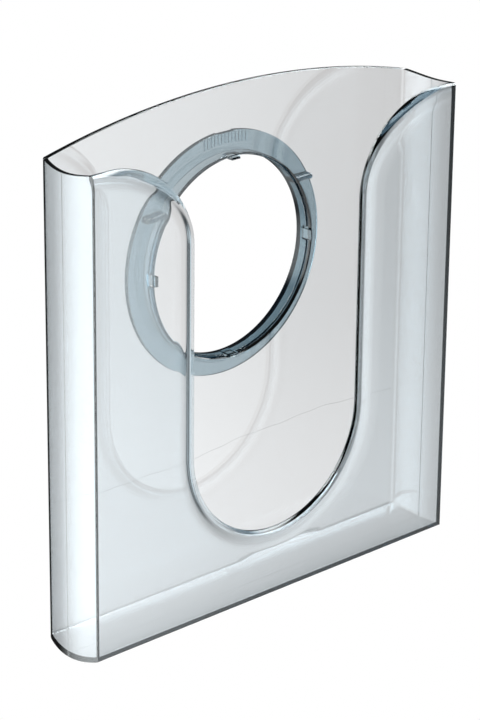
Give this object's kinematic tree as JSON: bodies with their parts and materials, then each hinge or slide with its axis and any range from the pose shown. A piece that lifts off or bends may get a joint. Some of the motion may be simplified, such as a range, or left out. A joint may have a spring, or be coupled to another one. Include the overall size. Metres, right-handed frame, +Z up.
{
  "type": "magazine file holder",
  "caption": "Clear smoky plastic wall pocket for A4 magazines, with a round-bottomed finger slot in front, an arched back and a snap-in coupling ring behind it.",
  "frame": {"origin": "on the axis of the round hole in the back panel, in the plane of the panel's rear face: the place the pocket hangs from", "axes": "+Z up, +X to the right seen from the front, -Y towards the user and +Y towards the wall"},
  "size_m": [0.2468, 0.0474, 0.269],
  "materials": {
    "clear_smoke": "clear, faintly smoky polystyrene, polished",
    "clear_blue": "clear, faintly blue-grey plastic, polished"
  },
  "bodies": {
    "holder": {"pocket": "clear_smoke"},
    "ring": {"coupling_ring": "clear_blue"}
  },
  "joints": [
    {"name": "ring_turn", "type": "hinge", "parent": "holder", "child": "ring", "pos_m": [0, 0, 0], "axis": [0, 1, 0], "range_deg": [-90, 90]}
  ]
}
